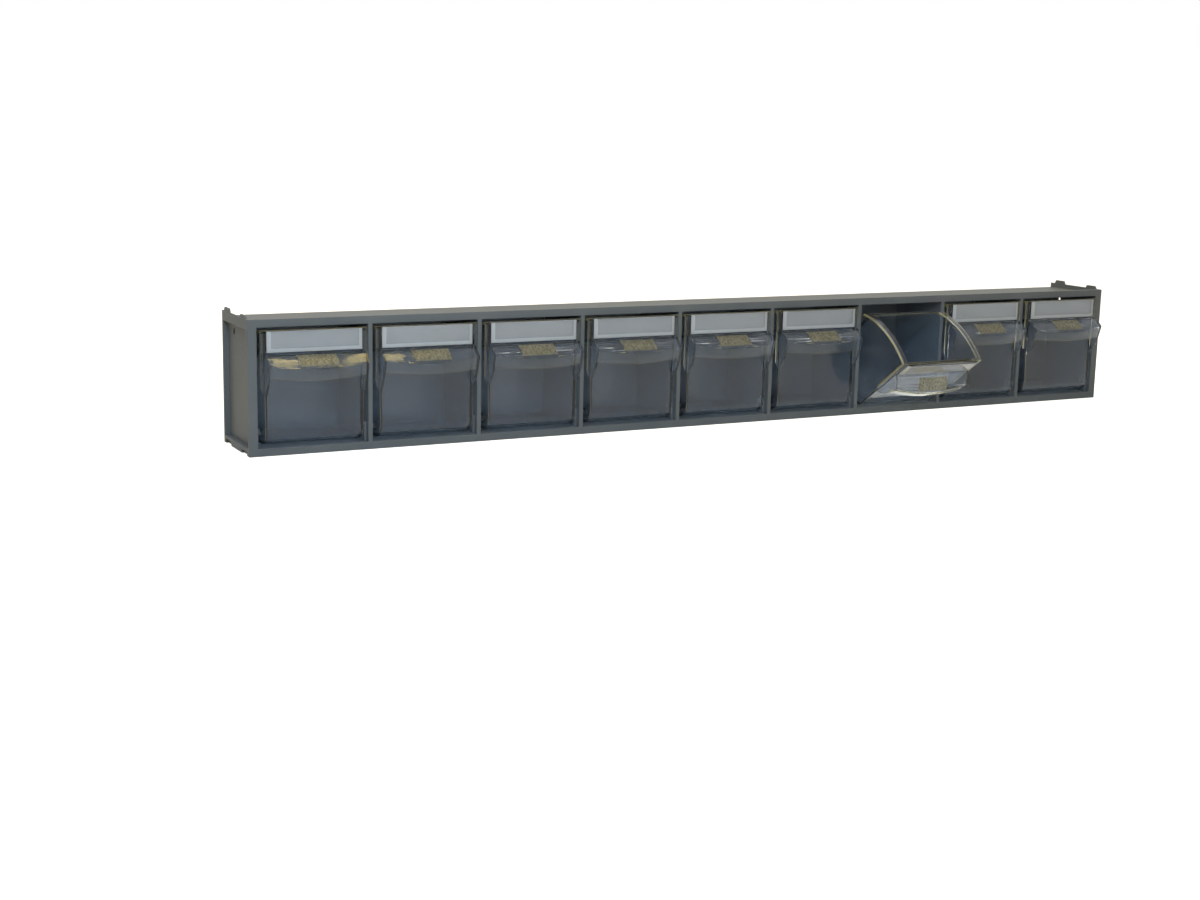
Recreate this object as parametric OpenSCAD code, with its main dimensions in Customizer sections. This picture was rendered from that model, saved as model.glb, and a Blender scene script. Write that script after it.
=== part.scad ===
/* [Cabinet] */
// Length of the cabinet over its end walls
cab_w = 600; // [560:1:660]
// Depth of the housing, from its front plane to its back
cab_d = 50.4; // [50:0.2:56]
// Height of the housing without its stacking tabs
cab_h = 75.2; // [75:0.2:79]
// Number of tip-out bins in the row
bin_count = 9; // [8:1:9]
// Which bin stands open, counted from the left, or 0 for none
open_bin = 7; // [0:1:9]

/* [Housing walls] */
// Thickness of an end wall over its rim
end_t = 5; // [4.6:0.1:6]
// Thickness of an end wall's panel inside its rim
end_panel_t = 2; // [1.8:0.1:2.4]
// Thickness of a wall between two bays
divider_t = 2.6; // [2.4:0.1:3]
// Thickness of the back panel
back_t = 2; // [1.6:0.1:2.6]
// Height of the front rail under the bays
sill_h = 4.4; // [4:0.1:4.6]
// Height of the front rail over the bays
head_h = 4.4; // [4:0.1:4.6]
// Thickness of both front rails, front to back
rail_t = 2.5; // [2:0.1:3]
// Thickness of the top plate
top_t = 1.3; // [1.2:0.1:2]
// Thickness of the floor plate
floor_t = 2.2; // [1.6:0.1:2.4]

/* [Stacking tabs] */
// Thickness of the rim that an end wall raises over the top plate, and of its tabs
end_rim_t = 1.3; // [1:0.1:1.8]
// Height of the front tab
tab_front_h = 1.8; // [1.5:0.1:3]
// Height of the rear tab
tab_rear_h = 2.2; // [1.5:0.1:3]
// Length of a stacking tab at its root
tab_len = 10.2; // [8:0.1:11]
// How far both ends of a tab lean in at its top
tab_lean = 1.2; // [0:0.1:2]
// Front of the front tab, behind the front plane
tab_front_y = 4.8; // [4:0.1:6]
// Front of the rear tab, behind the front plane
tab_rear_y = 36.2; // [32:0.1:36.5]
// Play of a tab in the socket of the cabinet above, all round
tab_play = 0.2; // [0.1:0.05:0.4]
// Room over a tab in that socket
tab_room = 0.3; // [0.2:0.1:0.6]
// Band left under the top plate over an end wall's recess
recess_band = 1.3; // [0.8:0.1:2]

/* [Fixings] */
// Radius of the hole that joins two cabinets end to end
join_hole_r = 1.8; // [1.5:0.05:2.2]
// Height of that hole
join_hole_z = 64.7; // [60:0.1:66]
// Distance of that hole behind the front plane
join_hole_y = 37; // [30:0.5:42]
// Radius of the wall screw holes in the back panel
wall_hole_r = 2.25; // [1.6:0.05:2.8]
// Height of the wall screw holes
wall_hole_z = 58; // [50:0.5:64]

/* [Hinges] */
// Distance of the bins' pivots behind the front plane
pivot_y = 6; // [5.8:0.1:6.2]
// Height of the bins' pivots
pivot_z = 12.4; // [12.2:0.1:12.6]
// How far a bin tips out, in degrees
open_angle = 55; // [0:1:55]
// Radius of a bin's trunnion pin
pin_r = 1.75; // [1.5:0.01:1.75]
// Radius of the blind socket that it turns in
socket_r = 1.8; // [1.8:0.01:1.85]
// Depth of a socket from its lug's face
socket_depth = 2.2; // [1.6:0.1:2.3]
// End clearance of a pin in its socket
pin_end_gap = 0.25; // [0.1:0.05:0.4]
// How much wider than the pin its collar is, on the radius
collar_step = 0.45; // [0.3:0.05:0.6]
// Gap from that collar to the hinge lug
collar_gap = 0.35; // [0.3:0.05:0.6]
// How far a hinge lug stands out of its wall
lug_t = 1.25; // [1:0.05:1.3]
// Length of a hinge lug, front to back
lug_len = 5; // [4.6:0.1:6]
// Height of a hinge lug over the sill
lug_h = 10.8; // [10.4:0.1:11.5]

/* [Bins] */
// Gap from a bay's wall to the bin's side wall
side_gap = 3.1; // [3:0.1:3.4]
// Thickness of a bin's front, floor and rear walls
bin_wall = 1.6; // [1.4:0.1:1.8]
// Thickness of a bin's side walls
side_wall = 1.5; // [1.3:0.1:1.7]
// How far a bin's front wall stands before the front plane
front_proud = 2; // [1.8:0.1:2.4]
// Underside of a bin's floor over the cabinet's base
bin_floor_z = 5.8; // [5.7:0.1:6]
// Radius of the curve under a bin's front wall
front_r = 9; // [8:0.1:9]
// Radius of the curve at a bin's heel
heel_r = 8; // [6:0.5:9]
// Rear wall behind the front plane, at the floor
rear_foot_y = 42.5; // [40:0.1:43]
// Lean of the rear wall, in degrees
rear_lean = 1.95; // [0:0.05:2]
// Radius of the curved top of the side walls
rim_r = 68.2; // [67.8:0.1:68.4]
// Distance of that curve's centre before the front plane
rim_c_out = 3.9; // [3.8:0.05:4]
// Height of that curve's centre
rim_c_z = 1.2; // [1.1:0.05:1.3]
// Taper of the side walls towards the rear, in degrees
taper_back = 0.6; // [0:0.1:1]
// Taper of the side walls towards the floor, in degrees
taper_down = 0.5; // [0:0.1:0.8]
// Width of the flange along a side wall's rim
flange_w = 1.75; // [1:0.05:1.8]
// Thickness of that flange
flange_t = 1.5; // [1:0.1:2]
// Width of the flange along the rear wall's rim
rear_flange_w = 1.7; // [1:0.1:2]
// Height at which the front wall begins to widen into its wings
wing_low_z = 33.5; // [30:0.5:36]
// Height from which the wings have their full width
wing_full_z = 38; // [37:0.5:42]
// Gap from a wing to the bay's wall
wing_gap = 1.4; // [1.3:0.1:1.8]

/* [Pull hood] */
// Height of the hood's root on the front wall
hood_z = 56.5; // [56:0.1:57]
// How far the hood's root stands before the front plane
hood_root = 4.2; // [4:0.1:4.6]
// How far the ends of the lip stand before the front plane
lip_end_out = 11.3; // [10.5:0.1:12]
// Height of the ends of the lip
lip_end_z = 51.45; // [51:0.05:52]
// How far the middle of the lip stands before the front plane
lip_mid_out = 13.8; // [13:0.1:14.2]
// Height of the middle of the lip
lip_mid_z = 48.5; // [48:0.1:49]
// Thickness of the hood
hood_t = 1.5; // [1.2:0.1:2]
// Height of the skirt's lower edge at its ends
skirt_end_z = 44.4; // [43.8:0.1:45]
// Height of the skirt's lower edge at its middle
skirt_mid_z = 42.5; // [42:0.1:43.2]
// Lean of the skirt, backwards below the lip, in degrees
skirt_lean = 17; // [14:0.5:18]
// Thickness of the skirt
skirt_t = 1.5; // [1.2:0.1:1.6]
// Thickness of the cheeks that close the hood's ends
cheek_t = 1.5; // [1.2:0.1:2]
// Height at which a cheek runs out on the front wall
cheek_low_z = 33; // [32:0.5:34]
// Radius of a cheek's front edge
cheek_r = 30; // [28:0.5:34]
// Number of grip ribs on the hood
rib_count = 4; // [0:1:4]
// Length of a grip rib
rib_len = 22; // [10:1:40]
// Radius of a grip rib
rib_r = 0.35; // [0.25:0.05:0.4]
// Angle of the line before the first rib about the hood's centre
rib_start = 123; // [122:0.5:124]
// Angle between two ribs
rib_step = 4.5; // [4:0.5:5]

/* [Label holder] */
// Width of the label holder
holder_w = 54.4; // [48:0.1:55]
// Bottom of the label holder
holder_z = 57.3; // [57.1:0.1:58]
// Top of the label holder
holder_top_z = 69; // [68:0.1:69]
// How far the holder's window stands before the front plane
holder_out = 3.8; // [3.6:0.1:4.2]
// Width of the window's bevelled border
bevel_w = 2.2; // [1:0.1:3]
// Depth of that bevel
bevel_d = 0.8; // [0.4:0.1:0.9]
// Width of a label card
card_w = 52.4; // [40:0.1:52.4]
// Height of a label card
card_h = 11; // [8:0.1:11.2]
// Thickness of a label card
card_t = 0.35; // [0.2:0.05:0.4]
// Play of the card in its slot, all round
card_play = 0.12; // [0.05:0.01:0.15]
// How far a seated card's top edge lies under the holder's
card_sink = 0.2; // [0:0.05:0.4]
// How far the slot stands before the front wall
slot_out = 0.1; // [0.05:0.05:0.2]

/* [Hidden] */
$fn = 144;
eps = 0.01;
cut = 1;
over = 10;

front_y = -cab_d / 2;
bay_w = (cab_w - 2 * end_t - (bin_count - 1) * divider_t) / bin_count;
bay_pitch = bay_w + divider_t;
bay_top_z = cab_h - head_h;
wall_hole_pitch = (bin_count - 3) * bay_pitch;

bin_half = bay_w / 2 - side_gap;
wing_half = bay_w / 2 - wing_gap;
front_c = [front_r - front_proud, bin_floor_z + front_r];
heel_c = [rear_y(bin_floor_z + heel_r, heel_r), bin_floor_z + heel_r];
rim_c = [-rim_c_out, rim_c_z];
hood_c = arc_centre([-hood_root, hood_z], [-lip_end_out, lip_end_z], [-lip_mid_out, lip_mid_z]);
hood_r = norm(hood_c - [-hood_root, hood_z]);
lip_sag = lip_mid_out - lip_end_out;
skirt_slope = tan(skirt_lean);
end_out = (lip_end_z - lip_mid_z) * skirt_slope;
lip_r = (bin_half * bin_half + lip_sag * lip_sag - end_out * end_out) / (2 * (lip_sag + end_out));
skirt_sag = skirt_end_z - skirt_mid_z;
skirt_edge_r = (bin_half * bin_half + skirt_sag * skirt_sag) / (2 * skirt_sag);
cheek_c = bulge_centre([-lip_end_out, lip_end_z], [-front_proud, cheek_low_z], cheek_r);
slot_t = card_t + 2 * card_play;
slot_y = -front_proud - slot_out - slot_t / 2;
card_z = holder_top_z - card_h - card_sink;

BAYS = [for (i = [1 : bin_count]) i];

// Distance of the rear wall's face behind the front plane at height z, moved in by inset
function rear_y(z, inset) = rear_foot_y + (z - bin_floor_z) * tan(rear_lean) - inset / cos(rear_lean);

// Centre of the circle through three points
function arc_centre(a, b, c) =
    let (
        d = 2 * (a[0] * (b[1] - c[1]) + b[0] * (c[1] - a[1]) + c[0] * (a[1] - b[1])),
        aa = a * a,
        bb = b * b,
        cc = c * c
    )
    [
        (aa * (b[1] - c[1]) + bb * (c[1] - a[1]) + cc * (a[1] - b[1])) / d,
        (aa * (c[0] - b[0]) + bb * (a[0] - c[0]) + cc * (b[0] - a[0])) / d
    ];

// Centre of the circle of radius r through two points, behind the chord
function bulge_centre(a, b, r) =
    let (
        chord = b - a,
        half = norm(chord) / 2,
        back = [-chord[1], chord[0]] / norm(chord)
    )
    (a + b) / 2 + back * sqrt(r * r - half * half);

// Middle of bay i along the cabinet
function bay_x(i) = -cab_w / 2 + end_t + bay_w / 2 + (i - 1) * bay_pitch;

// Turns an outline in (y, z) into a prism w wide, centred on x = 0
module across(w) {
    translate([-w / 2, 0, 0]) rotate([90, 0, 90]) linear_extrude(w) children();
}

// Both ends of what is drawn at the right
module both_ends() {
    for (side = [0, 1]) mirror([side, 0, 0]) children();
}

// ---- Housing ----

// Block from the front plane back: x range, distances behind the front plane, heights
module slab(x0, x1, y0, y1, z0, z1) {
    translate([x0, front_y + y0, z0]) cube([x1 - x0, y1 - y0, z1 - z0]);
}

module housing_walls() {
    half_w = cab_w / 2;
    // Top plate, floor plate and back panel
    slab(-half_w + eps, half_w - eps, 0, cab_d, bay_top_z, bay_top_z + top_t);
    slab(-half_w + eps, half_w - eps, 0, cab_d, sill_h - floor_t, sill_h);
    slab(-half_w, half_w, cab_d - back_t, cab_d, 0, bay_top_z + top_t);
    // Front rails
    slab(-half_w, half_w, 0, rail_t, 0, sill_h);
    slab(-half_w, half_w, 0, rail_t, bay_top_z, cab_h);
    // Rib along the middle of the underside
    rib_w = half_w - end_t / 2;
    slab(-rib_w, rib_w, (cab_d - divider_t) / 2, (cab_d + divider_t) / 2, 0, sill_h);
    // Dividers, which run down to the base as ribs
    for (i = [1 : bin_count - 1])
        slab(bay_x(i) + bay_w / 2, bay_x(i) + bay_w / 2 + divider_t, 0, cab_d, 0, bay_top_z + eps);
    // End walls, each with a thin rim raised over the top plate
    both_ends() {
        slab(half_w - end_t, half_w, 0, cab_d, 0, bay_top_z + top_t);
        slab(half_w - end_rim_t, half_w, 0, cab_d, 0, cab_h);
    }
}

// Recess in an end wall's outer face
module end_recess() {
    rim_x = cab_w / 2 - end_t + end_panel_t;
    slab(rim_x, rim_x + over, rail_t, cab_d - back_t, sill_h, bay_top_z - recess_band);
}

// Tab on an end wall's rim, flush with its outer face
module stacking_tab(y0, h) {
    translate([(cab_w - end_rim_t) / 2, front_y + y0, cab_h])
        across(end_rim_t)
            polygon([
                [0, -cut],
                [0, 0],
                [tab_lean, h],
                [tab_len - tab_lean, h],
                [tab_len, 0],
                [tab_len, -cut]
            ]);
}

// Notch in an end wall's lower edge for the tab of a cabinet below
module stacking_socket(y0, h) {
    notch_x = cab_w / 2 - end_rim_t - tab_play;
    slab(notch_x, notch_x + over, y0 - tab_play, y0 + tab_len + tab_play, -over, h + tab_room);
}

module hinge_lug() {
    lug_y = pivot_y - lug_len / 2;
    slab(bay_w / 2 - lug_t, bay_w / 2 + eps, lug_y, lug_y + lug_len, sill_h - eps, sill_h + lug_h);
}

module hinge_socket() {
    translate([bay_w / 2 - lug_t - eps, front_y + pivot_y, pivot_z])
        rotate([0, 90, 0]) cylinder(r = socket_r, h = socket_depth + eps);
}

module join_hole() {
    translate([cab_w / 2 - end_t - cut, front_y + join_hole_y, join_hole_z])
        rotate([0, 90, 0]) cylinder(r = join_hole_r, h = end_panel_t + 2 * cut);
}

module wall_holes() {
    both_ends()
        translate([wall_hole_pitch / 2, cab_d / 2 + cut, wall_hole_z])
            rotate([90, 0, 0]) cylinder(r = wall_hole_r, h = back_t + 2 * cut);
}

module housing() {
    color([0.36, 0.37, 0.37])
        difference() {
            union() {
                difference() {
                    housing_walls();
                    both_ends() end_recess();
                }
                both_ends() {
                    stacking_tab(tab_front_y, tab_front_h);
                    stacking_tab(tab_rear_y, tab_rear_h);
                }
                for (i = BAYS)
                    translate([bay_x(i), 0, 0]) both_ends() hinge_lug();
            }
            for (i = BAYS)
                translate([bay_x(i), 0, 0]) both_ends() hinge_socket();
            both_ends() {
                join_hole();
                stacking_socket(tab_front_y, tab_front_h);
                stacking_socket(tab_rear_y, tab_rear_h);
            }
            wall_holes();
        }
}

// ---- Tip-out bin, drawn closed: x from the middle of its bay, y from the front plane ----

// Outline of a bin's side in (y, z), moved in by a wall and open upwards
module bin_outline(inset) {
    front_in = front_r - inset;
    heel_in = heel_r - inset;
    translate(front_c) circle(r = front_in);
    translate(heel_c) circle(r = heel_in);
    polygon([
        [front_c[0] - front_in, front_c[1]],
        [front_c[0] - front_in, cab_h],
        [rear_y(cab_h, inset), cab_h],
        heel_c + heel_in * [cos(rear_lean), -sin(rear_lean)],
        heel_c - [0, heel_in],
        front_c - [0, front_in]
    ]);
}

// Everything between two side planes, half apart at the top of the front wall
module between_sides(half) {
    difference() {
        translate([-half, -over, -over]) cube([2 * half, cab_d + 2 * over, cab_h + 2 * over]);
        both_ends()
            translate([half, -front_proud, cab_h])
                rotate([0, taper_down, taper_back])
                    translate([0, -cab_d, -2 * cab_h]) cube([over, 4 * cab_d, 3 * cab_h]);
    }
}

module bin_shell() {
    difference() {
        intersection() {
            across(2 * bin_half) bin_outline(0);
            between_sides(bin_half);
        }
        intersection() {
            across(2 * bin_half) bin_outline(bin_wall);
            between_sides(bin_half - side_wall);
        }
    }
}

module rim_flanges() {
    both_ends()
        translate([bin_half - side_wall + (side_wall + flange_w) / 2, 0, 0])
            across(side_wall + flange_w)
                intersection() {
                    bin_outline(0);
                    difference() {
                        translate(rim_c) circle(r = rim_r + cut);
                        translate(rim_c) circle(r = rim_r - flange_t);
                    }
                }
}

module rear_flange() {
    across(2 * (bin_half + flange_w))
        intersection() {
            difference() {
                translate([rear_flange_w, 0]) bin_outline(0);
                bin_outline(bin_wall / 2);
            }
            difference() {
                translate(rim_c) circle(r = rim_r + cut);
                translate(rim_c) circle(r = rim_r - flange_t);
            }
        }
}

module front_wings() {
    translate([0, bin_wall - front_proud, 0])
        rotate([90, 0, 0])
            linear_extrude(bin_wall)
                polygon([
                    [-bin_half, wing_low_z],
                    [bin_half, wing_low_z],
                    [wing_half, wing_full_z],
                    [wing_half, cab_h],
                    [-wing_half, cab_h],
                    [-wing_half, wing_full_z]
                ]);
}

module label_holder() {
    edge_out = holder_out - bevel_d;
    intersection() {
        across(holder_w)
            polygon([
                [-front_proud + eps, holder_z],
                [-edge_out, holder_z],
                [-holder_out, holder_z + bevel_w],
                [-holder_out, holder_top_z],
                [-front_proud + eps, holder_top_z]
            ]);
        linear_extrude(cab_h)
            polygon([
                [-holder_w / 2, -front_proud + eps],
                [-holder_w / 2, -edge_out],
                [-holder_w / 2 + bevel_w, -holder_out],
                [holder_w / 2 - bevel_w, -holder_out],
                [holder_w / 2, -edge_out],
                [holder_w / 2, -front_proud + eps]
            ]);
    }
}

// Slot for the card, open at the top of the label holder
module card_slot() {
    translate([-card_w / 2 - card_play, slot_y - slot_t / 2, card_z - card_play])
        cube([card_w + 2 * card_play, slot_t, cab_h]);
}

// Everything behind the lip's curve and the skirt below it, moved in by inset
module behind_lip(inset) {
    low_r = lip_r - lip_mid_z * skirt_slope - inset;
    translate([0, lip_r - lip_mid_out, 0])
        cylinder(r1 = low_r, r2 = low_r + cab_h * skirt_slope, h = cab_h, $fn = 360);
}

// Front of the hood below the lip, with a lower edge that curves up to its ends
module skirt() {
    intersection() {
        difference() {
            across(2 * bin_half)
                intersection() {
                    translate(hood_c) circle(r = hood_r);
                    under_root();
                }
            behind_lip(skirt_t);
        }
        translate([0, 0, skirt_mid_z + skirt_edge_r])
            rotate([90, 0, 0]) cylinder(r = skirt_edge_r, h = 2 * cab_d, center = true, $fn = 360);
    }
}

module pull_hood() {
    intersection() {
        behind_lip(0);
        union() {
            skirt();
            across(2 * bin_half)
                intersection() {
                    difference() {
                        translate(hood_c) circle(r = hood_r);
                        translate(hood_c) circle(r = hood_r - hood_t);
                    }
                    under_root();
                }
            across(2 * bin_half)
                translate([-hood_root, hood_z - hood_t]) square([hood_root - front_proud + eps, hood_t]);
            both_ends()
                translate([bin_half - cheek_t / 2, 0, 0])
                    across(cheek_t) cheek_outline();
        }
    }
}

module cheek_outline() {
    intersection() {
        translate(hood_c) circle(r = hood_r);
        translate(cheek_c) circle(r = cheek_r);
        under_root();
    }
}

// Everything before the front wall, from the cheeks' lower ends up to the hood's root, in (y, z)
module under_root() {
    translate([-over - lip_mid_out, cheek_low_z])
        square([over + lip_mid_out - front_proud + eps, hood_z - cheek_low_z]);
}

// Fine ribs across the hood, spaced along its curve
module grip_ribs() {
    for (i = [1 : rib_count]) {
        turn = rib_start + rib_step * i;
        translate([-rib_len / 2, hood_c[0] + hood_r * cos(turn), hood_c[1] + hood_r * sin(turn)])
            rotate([0, 90, 0]) cylinder(r = rib_r, h = rib_len, $fn = 24);
    }
}

module trunnions() {
    pin_out = bay_w / 2 - lug_t + socket_depth - pin_end_gap;
    both_ends()
        translate([bin_half - side_wall, pivot_y, pivot_z])
            rotate([0, 90, 0]) {
                cylinder(r = pin_r, h = pin_out - bin_half + side_wall);
                cylinder(r = pin_r + collar_step, h = side_wall + side_gap - lug_t - collar_gap);
            }
}

module bin() {
    color([0.72, 0.76, 0.78, 0.45])
        difference() {
            intersection() {
                union() {
                    bin_shell();
                    rim_flanges();
                    rear_flange();
                    front_wings();
                    label_holder();
                    pull_hood();
                    grip_ribs();
                    trunnions();
                }
                across(2 * bay_w) translate(rim_c) circle(r = rim_r, $fn = 360);
            }
            card_slot();
        }
}

module label_card() {
    color([0.86, 0.86, 0.84])
        translate([-card_w / 2, slot_y - card_t / 2, card_z])
            cube([card_w, card_t, card_h]);
}

// Puts what is drawn at the middle bay's front plane into bay i, tipped out if that bin is open
module in_bay(i) {
    tip = i == open_bin ? open_angle : 0;
    translate([bay_x(i), front_y + pivot_y, pivot_z])
        rotate([tip, 0, 0])
            translate([0, -pivot_y, -pivot_z]) children();
}

housing();
for (i = BAYS) {
    in_bay(i) bin();
    in_bay(i) label_card();
}
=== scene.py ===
"""A row of nine clear tip-out bins in a grey moulded cabinet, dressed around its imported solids."""

import math

import bmesh
import bpy
from mathutils import Matrix, Vector


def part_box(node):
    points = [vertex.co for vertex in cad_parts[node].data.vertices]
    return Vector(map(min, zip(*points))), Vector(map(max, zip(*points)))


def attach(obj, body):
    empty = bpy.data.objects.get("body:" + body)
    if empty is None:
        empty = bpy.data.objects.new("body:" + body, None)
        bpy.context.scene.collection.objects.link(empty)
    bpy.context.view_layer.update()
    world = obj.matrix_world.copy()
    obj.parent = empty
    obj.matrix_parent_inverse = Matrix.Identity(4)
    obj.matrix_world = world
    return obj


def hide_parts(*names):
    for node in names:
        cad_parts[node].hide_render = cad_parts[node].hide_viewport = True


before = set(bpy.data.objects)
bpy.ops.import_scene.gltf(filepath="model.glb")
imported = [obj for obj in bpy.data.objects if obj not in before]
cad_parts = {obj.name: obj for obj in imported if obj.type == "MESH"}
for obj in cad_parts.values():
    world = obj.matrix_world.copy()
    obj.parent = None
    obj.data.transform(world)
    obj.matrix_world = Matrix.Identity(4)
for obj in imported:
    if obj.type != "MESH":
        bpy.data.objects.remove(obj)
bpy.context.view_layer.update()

MM = 0.001
BIN_COUNT = 9
OPEN_BIN = 7
OPEN_ANGLE = math.radians(55)
FRONT_Y = -25.2 * MM

# ---- Camera: a long lens to the left of the cabinet, a little above it ----

CAMERA_AT = Vector((-0.56668, -0.95412, 0.19248))
CAMERA_VIEW = Vector((0.451404, 0.871752, -0.190482))
CAMERA_ROLL = math.radians(1.264)
LENS_MM = 53.383
SENSOR_MM = 36.0
NEAR = 0.01
FAR = 50.0


def add_camera():
    lens = bpy.data.cameras.new("camera")
    lens.lens = LENS_MM
    lens.sensor_width = SENSOR_MM
    lens.sensor_fit = "HORIZONTAL"
    lens.clip_start = NEAR
    lens.clip_end = FAR
    camera = bpy.data.objects.new("camera", lens)
    bpy.context.collection.objects.link(camera)
    level = CAMERA_VIEW.to_track_quat("-Z", "Y").to_matrix().to_4x4()
    roll = Matrix.Rotation(CAMERA_ROLL, 4, "Z")
    camera.matrix_world = Matrix.Translation(CAMERA_AT) @ level @ roll
    bpy.context.scene.camera = camera


# ---- Materials ----

# Polystyrene's IOR is 1.59, and a plastic's specular level is usually 0.5. Matched to the object,
# the clear plastic's IOR and the housing's specular level are lower, as the real ones mirror dark
# surroundings and these a white floor.
CLEAR_IOR = 1.27
HOUSING_IOR = 1.55
HOUSING_SPECULAR = 0.05


def srgb(hex_colour):
    """An sRGB hex colour as linear RGBA."""
    channels = [int(hex_colour[i : i + 2], 16) / 255 for i in (1, 3, 5)]
    linear = [c / 12.92 if c <= 0.04045 else ((c + 0.055) / 1.055) ** 2.4 for c in channels]
    return (*linear, 1.0)


def add_node(tree, kind, inputs=None, **settings):
    """Adds a node, sets its settings, and fills its inputs with values or other nodes' outputs."""
    made = tree.nodes.new("ShaderNode" + kind)
    for name, value in settings.items():
        setattr(made, name, value)
    for key, value in (inputs or {}).items():
        if isinstance(value, bpy.types.NodeSocket):
            tree.links.new(value, made.inputs[key])
        else:
            made.inputs[key].default_value = value
    return made


def new_material(name):
    material = bpy.data.materials.new(name)
    material.use_nodes = True
    material.node_tree.nodes.clear()
    return material, material.node_tree


def per_mm(size_mm):
    """Noise scale whose lumps are about size_mm across, on Object coordinates in metres."""
    return 1.0 / (size_mm * MM)


def housing_plastic():
    # Grey high-impact polystyrene, injection moulded with a fine satin texture: an even mid grey
    # with a soft sheen, faintly cloudy where the melt cooled unevenly.
    material, tree = new_material("polystyrene_satin_grey")
    place = add_node(tree, "TexCoord").outputs["Object"]
    cloud = add_node(
        tree,
        "TexNoise",
        {"Vector": place, "Scale": per_mm(38), "Detail": 3.0, "Roughness": 0.55},
    )
    grain = add_node(
        tree,
        "TexNoise",
        {"Vector": place, "Scale": per_mm(0.8), "Detail": 2.0, "Roughness": 0.5},
    )
    clouding = add_node(
        tree,
        "MapRange",
        {"Value": cloud.outputs["Fac"], "From Min": 0.3, "From Max": 0.7},
    )
    colour = add_node(
        tree,
        "Mix",
        {"Factor": clouding.outputs["Result"], "A": srgb("#64686a"), "B": srgb("#6b6f70")},
        data_type="RGBA",
    )
    sheen = add_node(
        tree,
        "MapRange",
        {
            "Value": grain.outputs["Fac"],
            "From Min": 0.3,
            "From Max": 0.7,
            "To Min": 0.42,
            "To Max": 0.54,
        },
    )
    bump = add_node(
        tree,
        "Bump",
        {"Strength": 0.12, "Distance": 0.05 * MM, "Height": grain.outputs["Fac"]},
    )
    shader = add_node(
        tree,
        "BsdfPrincipled",
        {
            "Base Color": colour.outputs["Result"],
            "Roughness": sheen.outputs["Result"],
            "IOR": HOUSING_IOR,
            "Specular IOR Level": HOUSING_SPECULAR,
            "Normal": bump.outputs["Normal"],
        },
    )
    add_node(tree, "OutputMaterial", {"Surface": shader.outputs["BSDF"]})
    return material


def let_light_through(tree, shader, tint):
    """Ends a clear plastic's material, so that it casts a faintly tinted shadow, not a dark one."""
    see_through = add_node(tree, "BsdfTransparent", {"Color": srgb(tint)})
    shadow = add_node(tree, "LightPath").outputs["Is Shadow Ray"]
    mix = add_node(
        tree,
        "MixShader",
        {0: shadow, 1: shader.outputs["BSDF"], 2: see_through.outputs["BSDF"]},
    )
    add_node(tree, "OutputMaterial", {"Surface": mix.outputs["Shader"]})


def clear_plastic():
    # General-purpose polystyrene, injection moulded in a polished tool: clear and glossy with a
    # faint smoky cast, and a slight waviness that breaks up reflections.
    material, tree = new_material("polystyrene_clear_polished")
    place = add_node(tree, "TexCoord").outputs["Object"]
    wave = add_node(
        tree,
        "TexNoise",
        {"Vector": place, "Scale": per_mm(9), "Detail": 2.0, "Roughness": 0.45},
    )
    bump = add_node(
        tree,
        "Bump",
        {"Strength": 1.0, "Distance": 0.22 * MM, "Height": wave.outputs["Fac"]},
    )
    shader = add_node(
        tree,
        "BsdfPrincipled",
        {
            "Base Color": srgb("#d8dfe7"),
            "Roughness": 0.03,
            "IOR": CLEAR_IOR,
            "Transmission Weight": 0.985,
            "Normal": bump.outputs["Normal"],
        },
    )
    let_light_through(tree, shader, "#dde0e2")
    return material


def eroded_clear_and_painted_gold():
    # The same polystyrene where the tool is spark-eroded, on the grip: it scatters light, so it
    # looks frosted and speckled between the polished faces of the hood. Its tan to gold colour is a
    # painted reflection of the warm overhead light. The pits are drawn coarser than the real ones,
    # so that they show.
    material, tree = new_material("polystyrene_clear_eroded_painted_gold")
    place = add_node(tree, "TexCoord").outputs["Object"]
    pits = add_node(
        tree,
        "TexNoise",
        {"Vector": place, "Scale": per_mm(1.2), "Detail": 3.0, "Roughness": 0.6},
    )
    speckle = add_node(
        tree,
        "MapRange",
        {"Value": pits.outputs["Fac"], "From Min": 0.35, "From Max": 0.65},
    )
    # Painted reflection: the speckles run from dark tan to pale gold, the warm overhead light's
    # colour.
    colour = add_node(
        tree,
        "Mix",
        {"Factor": speckle.outputs["Result"], "A": srgb("#736c4e"), "B": srgb("#d2ccae")},
        data_type="RGBA",
    )
    bump = add_node(
        tree,
        "Bump",
        {"Strength": 0.6, "Distance": 0.12 * MM, "Height": pits.outputs["Fac"]},
    )
    shader = add_node(
        tree,
        "BsdfPrincipled",
        {
            "Base Color": colour.outputs["Result"],
            "Roughness": 0.3,
            "IOR": CLEAR_IOR,
            "Transmission Weight": 0.75,
            "Normal": bump.outputs["Normal"],
        },
    )
    let_light_through(tree, shader, "#cfd3d5")
    return material


def clear_edge_painted_glow():
    # The same polystyrene where a rim or lip ends, with a painted glow: its pale straw colour stands
    # in for the warm light that the wall gathers and lets out here, beside the clear faces.
    material, tree = new_material("polystyrene_clear_edge_painted_glow")
    place = add_node(tree, "TexCoord").outputs["Object"]
    drag = add_node(
        tree,
        "TexNoise",
        {"Vector": place, "Scale": per_mm(3), "Detail": 2.0, "Roughness": 0.5},
    )
    bump = add_node(
        tree,
        "Bump",
        {"Strength": 0.6, "Distance": 0.15 * MM, "Height": drag.outputs["Fac"]},
    )
    shader = add_node(
        tree,
        "BsdfPrincipled",
        {
            # Painted glow: a pale straw colour that lets less light through.
            "Base Color": srgb("#b9b084"),
            "Roughness": 0.18,
            "IOR": CLEAR_IOR,
            "Transmission Weight": 0.6,
            "Normal": bump.outputs["Normal"],
        },
    )
    let_light_through(tree, shader, "#dad6c4")
    return material


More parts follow.
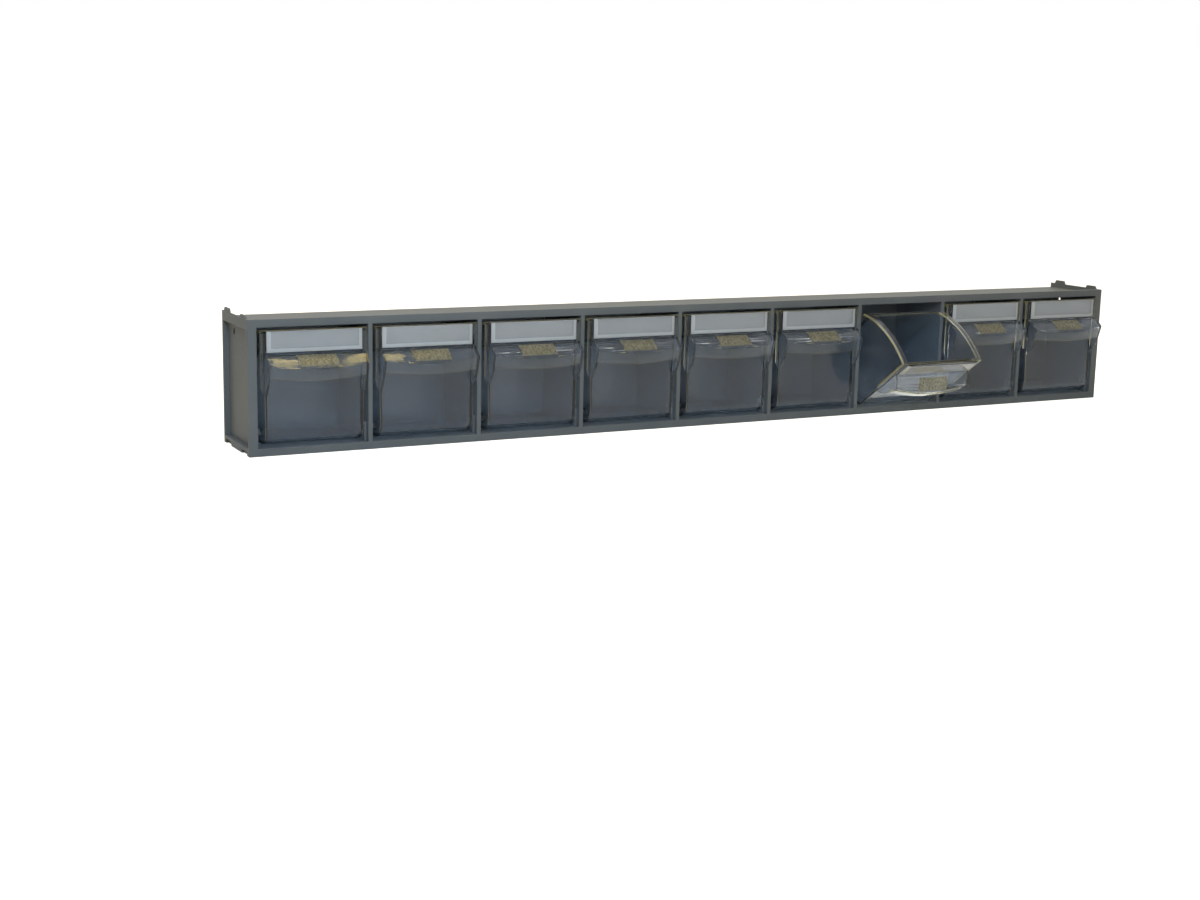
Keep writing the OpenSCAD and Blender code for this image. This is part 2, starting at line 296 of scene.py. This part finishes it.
def window_bevel_painted_highlight():
    # The label window's sloping border, cut steep in the tool. Its pale colour is a painted
    # highlight, standing in for the light it gathers from above and from the card behind it,
    # so that it shows as a pale frame.
    material, tree = new_material("polystyrene_clear_bevel_painted_highlight")
    place = add_node(tree, "TexCoord").outputs["Object"]
    drag = add_node(
        tree,
        "TexNoise",
        {"Vector": place, "Scale": per_mm(4), "Detail": 2.0, "Roughness": 0.5},
    )
    bump = add_node(
        tree,
        "Bump",
        {"Strength": 0.5, "Distance": 0.1 * MM, "Height": drag.outputs["Fac"]},
    )
    shader = add_node(
        tree,
        "BsdfPrincipled",
        {
            # Painted highlight: a pale grey that lets less light through.
            "Base Color": srgb("#c6cacc"),
            "Roughness": 0.22,
            "IOR": CLEAR_IOR,
            "Transmission Weight": 0.35,
            "Normal": bump.outputs["Normal"],
        },
    )
    let_light_through(tree, shader, "#dde0e2")
    return material


def card_paper():
    # Uncoated greyboard, cut from sheet: a matt warm grey with a faint fibrous mottle.
    material, tree = new_material("card_uncoated_grey")
    place = add_node(tree, "TexCoord").outputs["Object"]
    fibre = add_node(
        tree,
        "TexNoise",
        {"Vector": place, "Scale": per_mm(1.5), "Detail": 4.0, "Roughness": 0.6},
    )
    colour = add_node(
        tree,
        "Mix",
        {"Factor": fibre.outputs["Fac"], "A": srgb("#948c82"), "B": srgb("#a0988d")},
        data_type="RGBA",
    )
    bump = add_node(
        tree,
        "Bump",
        {"Strength": 0.15, "Distance": 0.03 * MM, "Height": fibre.outputs["Fac"]},
    )
    shader = add_node(
        tree,
        "BsdfPrincipled",
        {
            "Base Color": colour.outputs["Result"],
            "Roughness": 0.85,
            "Normal": bump.outputs["Normal"],
        },
    )
    add_node(tree, "OutputMaterial", {"Surface": shader.outputs["BSDF"]})
    return material


# ---- Pieces ----

# How a solid's loose triangles are joined: points this close together become one, faces this flat
# to each other become one, and edges this short close up, because they would spoil the rounding.
WELD = 0.02 * MM
FLAT = math.radians(0.5)
SHORT_EDGE = 0.06 * MM

# Edges that turn by more than SHARP are rounded, and those that still turn by more than CREASE
# afterwards are shaded as creases. Elsewhere large faces lead the shading, by NORMAL_WEIGHT of 100.
SHARP = math.radians(28)
CREASE = math.radians(55)
NORMAL_WEIGHT = 80
HOUSING_ROUNDING = 0.25 * MM
BIN_ROUNDING = 0.2 * MM
ROUNDING_STEPS = 2

# The hinge, behind the cabinet's front plane and above its underside.
PIVOT_BACK = 6.0 * MM
PIVOT_Z = 12.4 * MM

# Where the finishes lie on a closed bin. Halves are widths from its middle, Out is in front of the
# cabinet's front plane, Y is behind it and Z is above its underside.
WINDOW_HALF = 27.2 * MM
WINDOW_LOW_Z = 57.3 * MM
WINDOW_OUT = 3.8 * MM
BEVEL_Y = (-WINDOW_OUT + 0.05 * MM, -WINDOW_OUT + 0.85 * MM)
GRIP_HALF = 11.0 * MM
GRIP_OUT = (4.6 * MM, 12.2 * MM)
GRIP_Z = (50.1 * MM, 55.6 * MM)
GRIP_UPWARD = 0.2
HOOD_LOW_Z = GRIP_Z[0] - 2 * MM
RIM_CENTRE = (-3.9 * MM, 1.2 * MM)
RIM_RADIUS = 68.2 * MM
RIM_STRIP = 0.3 * MM
REAR_RIM_Y = 36 * MM
REAR_RIM_Z = 44 * MM
FOOT_TOP_Z = 8 * MM
FLANGE_HALF = 29.6 * MM
FLANGE_SIDEWAYS = 0.5
WALL_HALF = 27.6 * MM
WALL_TOP_Z = 34 * MM
WALL_SIDEWAYS = 0.3
SKIRT_OUT = 8.0 * MM
SKIRT_TOP_Z = 46.0 * MM
SKIRT_DOWNWARD = 0.5

# Where a bin's other finishes stand in the list that its piece holds. The polished one is first.
# The grip's finish carries a painted gold reflection, the edges' a painted glow, and the window
# bevel's a painted highlight.
ERODED_PAINTED_GOLD, EDGE, BEVEL = 1, 2, 3

# Label cards: their rounded corners, and their bow, over strips of even width. An edge is a corner
# where it is hardly longer than the card is thick.
CARD_CORNER = 0.9 * MM
CARD_CORNER_STEPS = 4
CORNER_EDGE = 1.5
CARD_STRIPS = 12
CARD_BOW_MM = 0.14


def bay_x(i):
    """Middle of bay i along the cabinet, from its label's solid."""
    low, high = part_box("label_%d" % i)
    return (low[0] + high[0]) / 2


def closing(i):
    """Takes bin i from its rest to its closed place, from its bay's middle and front plane."""
    pivot = Vector((bay_x(i), FRONT_Y + PIVOT_BACK, PIVOT_Z))
    turn = Matrix.Rotation(-OPEN_ANGLE if i == OPEN_BIN else 0.0, 4, "X")
    to_bay = Matrix.Translation((0.0, PIVOT_BACK, PIVOT_Z))
    return to_bay @ turn @ Matrix.Translation(-pivot)


def merged_copy(node):
    """A bmesh of a node's solid with its loose triangles joined into faces."""
    bm = bmesh.new()
    bm.from_mesh(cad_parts[node].data)
    bmesh.ops.remove_doubles(bm, verts=bm.verts, dist=WELD)
    bmesh.ops.dissolve_limit(bm, angle_limit=FLAT, verts=bm.verts, edges=bm.edges)
    bmesh.ops.dissolve_degenerate(bm, edges=bm.edges, dist=SHORT_EDGE)
    return bm


def cut_across(bm, x, faces):
    """Cuts some of a mesh's faces along the plane at x."""
    bmesh.ops.bisect_plane(
        bm,
        geom=[*bm.verts, *bm.edges, *faces],
        plane_co=(x, 0.0, 0.0),
        plane_no=(1.0, 0.0, 0.0),
    )


def round_edges(bm, edges, radius, segments):
    bmesh.ops.bevel(
        bm,
        geom=edges,
        offset=radius,
        offset_type="OFFSET",
        segments=segments,
        profile=0.5,
        affect="EDGES",
        clamp_overlap=False,
        material=-1,
    )


def sharp_edges(bm):
    return [e for e in bm.edges if len(e.link_faces) == 2 and e.calc_face_angle() > SHARP]


def add_piece(bm, name, materials, body, node):
    """Makes a finished mesh the piece that stands in for a node of the frame."""
    for face in bm.faces:
        face.smooth = True
    for edge in bm.edges:
        edge.smooth = len(edge.link_faces) == 2 and edge.calc_face_angle() < CREASE
    mesh = bpy.data.meshes.new(name)
    bm.to_mesh(mesh)
    bm.free()
    for material in materials:
        mesh.materials.append(material)
    piece = bpy.data.objects.new(name, mesh)
    bpy.context.collection.objects.link(piece)
    even = piece.modifiers.new("even_normals", "WEIGHTED_NORMAL")
    even.keep_sharp = True
    even.weight = NORMAL_WEIGHT
    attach(piece, body)
    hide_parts(node)


def make_housing(grey):
    bm = merged_copy("housing")
    round_edges(bm, sharp_edges(bm), HOUSING_ROUNDING, ROUNDING_STEPS)
    add_piece(bm, "housing_moulded", [grey], "cabinet", "housing")


def on_window_bevel(middle):
    """Whether a face of a closed bin lies on the sloping border of its label window."""
    return (
        abs(middle.x) < WINDOW_HALF
        and middle.z > WINDOW_LOW_Z
        and BEVEL_Y[0] < middle.y < BEVEL_Y[1]
    )


def on_hood(middle):
    """Whether a face of a closed bin lies on its pull hood."""
    return middle.y < -GRIP_OUT[0] and HOOD_LOW_Z < middle.z < GRIP_Z[1]


def on_grip(middle, normal):
    """Whether a face of a closed bin lies on the ribbed patch of its pull hood."""
    return (
        abs(middle.x) < GRIP_HALF
        and GRIP_Z[0] < middle.z < GRIP_Z[1]
        and -GRIP_OUT[1] < middle.y < -GRIP_OUT[0]
        and normal.z > GRIP_UPWARD
    )


def on_rim(face, to_closed):
    """Whether a face of a bin is a narrow strip that rounds an edge of its rim."""
    corners = [to_closed @ vert.co for vert in face.verts]
    if face.calc_area() > RIM_STRIP * max(edge.calc_length() for edge in face.edges):
        return False
    if min(p.y for p in corners) > REAR_RIM_Y and min(p.z for p in corners) > REAR_RIM_Z:
        return True
    reaches = [math.hypot(p.y - RIM_CENTRE[0], p.z - RIM_CENTRE[1]) for p in corners]
    return all(abs(reach - RIM_RADIUS) < RIM_STRIP for reach in reaches)


def on_edge(middle, normal):
    """Whether a face of a closed bin is the edge of a flange, of a wing or of the hood's skirt."""
    if abs(middle.x) > FLANGE_HALF and middle.z > FOOT_TOP_Z:
        return abs(normal.x) > FLANGE_SIDEWAYS
    if abs(middle.x) > WALL_HALF and middle.y < 0.0 and FOOT_TOP_Z < middle.z < WALL_TOP_Z:
        return abs(normal.x) > WALL_SIDEWAYS
    return middle.y < -SKIRT_OUT and middle.z < SKIRT_TOP_Z and normal.z < -SKIRT_DOWNWARD


def make_bin(i, finishes):
    node = "bin_%d" % i
    bm = merged_copy(node)
    to_closed = closing(i)
    for side in (-1, 1):
        hood = [f for f in bm.faces if on_hood(to_closed @ f.calc_center_median())]
        cut_across(bm, bay_x(i) + side * GRIP_HALF, hood)
    round_edges(bm, sharp_edges(bm), BIN_ROUNDING, ROUNDING_STEPS)
    turn = to_closed.to_3x3()
    for face in bm.faces:
        middle = to_closed @ face.calc_center_median()
        normal = turn @ face.normal
        # The grip patch: frosted speckle with a painted gold reflection.
        if on_grip(middle, normal):
            face.material_index = ERODED_PAINTED_GOLD
        # Rim strips and the edges of flanges, wings and the skirt: a painted glow.
        elif on_rim(face, to_closed) or on_edge(middle, normal):
            face.material_index = EDGE
        # The label window's sloping border: a painted highlight.
        elif on_window_bevel(middle):
            face.material_index = BEVEL
    add_piece(bm, node + "_moulded", finishes, "tip_bin_%d" % i, node)


def make_card(i, paper):
    """A label card with rounded corners, bowed a little forwards in its slot."""
    node = "label_%d" % i
    bm = merged_copy(node)
    thin = min(edge.calc_length() for edge in bm.edges)
    corners = [e for e in bm.edges if e.calc_length() < CORNER_EDGE * thin]
    round_edges(bm, corners, CARD_CORNER, CARD_CORNER_STEPS)
    middle_x = bay_x(i)
    low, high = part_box(node)
    half = (high[0] - low[0]) / 2
    for step in range(1, CARD_STRIPS):
        cut_across(bm, middle_x + half * (2 * step / CARD_STRIPS - 1), bm.faces)
    out = closing(i).to_3x3().inverted() @ Vector((0.0, -1.0, 0.0))
    for vert in bm.verts:
        bow = 1.0 - ((vert.co.x - middle_x) / half) ** 2
        vert.co += out * (bow - 0.5) * CARD_BOW_MM * MM
    add_piece(bm, node + "_cut", [paper], "tip_bin_%d" % i, node)


def add_pieces():
    grey = housing_plastic()
    finishes = [
        clear_plastic(),
        eroded_clear_and_painted_gold(),
        clear_edge_painted_glow(),
        window_bevel_painted_highlight(),
    ]
    paper = card_paper()
    make_housing(grey)
    for i in range(1, BIN_COUNT + 1):
        make_bin(i, finishes)
        make_card(i, paper)


# ---- Studio ----

FLOOR_SIZE = 30.0
FLOOR_GLOW = 0.89
WORLD_LIGHT = 0.25
WARM_STRIP_X = (0.0, 0.115)


def sees_background(tree):
    """1 for the rays that show the background: straight, mirrored and through clear plastic."""
    path = add_node(tree, "LightPath").outputs
    bent = add_node(
        tree,
        "Math",
        {0: path["Is Glossy Ray"], 1: path["Is Transmission Ray"]},
        operation="MAXIMUM",
    )
    shown = add_node(
        tree,
        "Math",
        {0: path["Is Camera Ray"], 1: bent.outputs[0]},
        operation="MAXIMUM",
    )
    return shown.outputs[0]


def white_paper():
    # Matt white studio paper, which reads as plain white except in the object's shadow.
    material, tree = new_material("studio_paper_white")
    paper = add_node(tree, "BsdfDiffuse", {"Color": srgb("#dfd9c8")})
    glow = add_node(tree, "Emission", {"Color": srgb("#ffffff"), "Strength": FLOOR_GLOW})
    both = add_node(tree, "AddShader", {0: paper.outputs["BSDF"], 1: glow.outputs["Emission"]})
    mix = add_node(
        tree,
        "MixShader",
        {0: sees_background(tree), 1: paper.outputs["BSDF"], 2: both.outputs["Shader"]},
    )
    add_node(tree, "OutputMaterial", {"Surface": mix.outputs["Shader"]})
    return material


def add_floor():
    bm = bmesh.new()
    bmesh.ops.create_grid(bm, x_segments=1, y_segments=1, size=FLOOR_SIZE / 2)
    mesh = bpy.data.meshes.new("floor")
    bm.to_mesh(mesh)
    bm.free()
    floor = bpy.data.objects.new("floor", mesh)
    bpy.context.collection.objects.link(floor)
    mesh.materials.append(white_paper())


def add_lamp(name, at, aim, size, watts, colour):
    light = bpy.data.lights.new(name, "AREA")
    light.shape = "RECTANGLE"
    light.size, light.size_y = size
    light.energy = watts
    light.color = srgb(colour)[:3]
    lamp = bpy.data.objects.new(name, light)
    bpy.context.collection.objects.link(lamp)
    turn = (Vector(aim) - Vector(at)).to_track_quat("-Z", "Y").to_matrix().to_4x4()
    lamp.matrix_world = Matrix.Translation(at) @ turn


def add_lights():
    add_lamp(
        "cool_softbox",
        at=(-0.42, -0.50, 0.32),
        aim=(-0.25, 0.0, 0.04),
        size=(0.14, 0.14),
        watts=1.8,
        colour="#c8e2ff",
    )
    add_lamp(
        "overhead_softbox",
        at=(-0.30, 0.25, 1.05),
        aim=(0.0, 0.0, 0.04),
        size=(0.55, 0.50),
        watts=5.0,
        colour="#fff2e0",
    )
    # Two strips across the cabinet, which the pull hoods near its left end mirror in gold.
    for i, x in enumerate(WARM_STRIP_X):
        add_lamp(
            "warm_strip_%d" % (i + 1),
            at=(x, 0.0, 1.0),
            aim=(x, 0.0, 0.0),
            size=(0.06, 0.9),
            watts=1.6,
            colour="#ffe07c",
        )
    add_lamp(
        "front_strip",
        at=(0.25, -0.62, 0.68),
        aim=(0.25, 0.0, 0.02),
        size=(1.0, 0.05),
        watts=2.3,
        colour="#e4f0ff",
    )


def add_world():
    world = bpy.data.worlds.new("studio")
    bpy.context.scene.world = world
    world.use_nodes = True
    tree = world.node_tree
    tree.nodes.clear()
    plain = add_node(tree, "Background", {"Color": srgb("#fff8ee"), "Strength": WORLD_LIGHT})
    white = add_node(tree, "Background", {"Color": srgb("#ffffff"), "Strength": 1.0})
    mix = add_node(
        tree,
        "MixShader",
        {
            0: sees_background(tree),
            1: plain.outputs["Background"],
            2: white.outputs["Background"],
        },
    )
    add_node(tree, "OutputWorld", {"Surface": mix.outputs["Shader"]})


bpy.context.scene.view_settings.view_transform = "Standard"
add_camera()
add_floor()
add_lights()
add_world()
add_pieces()
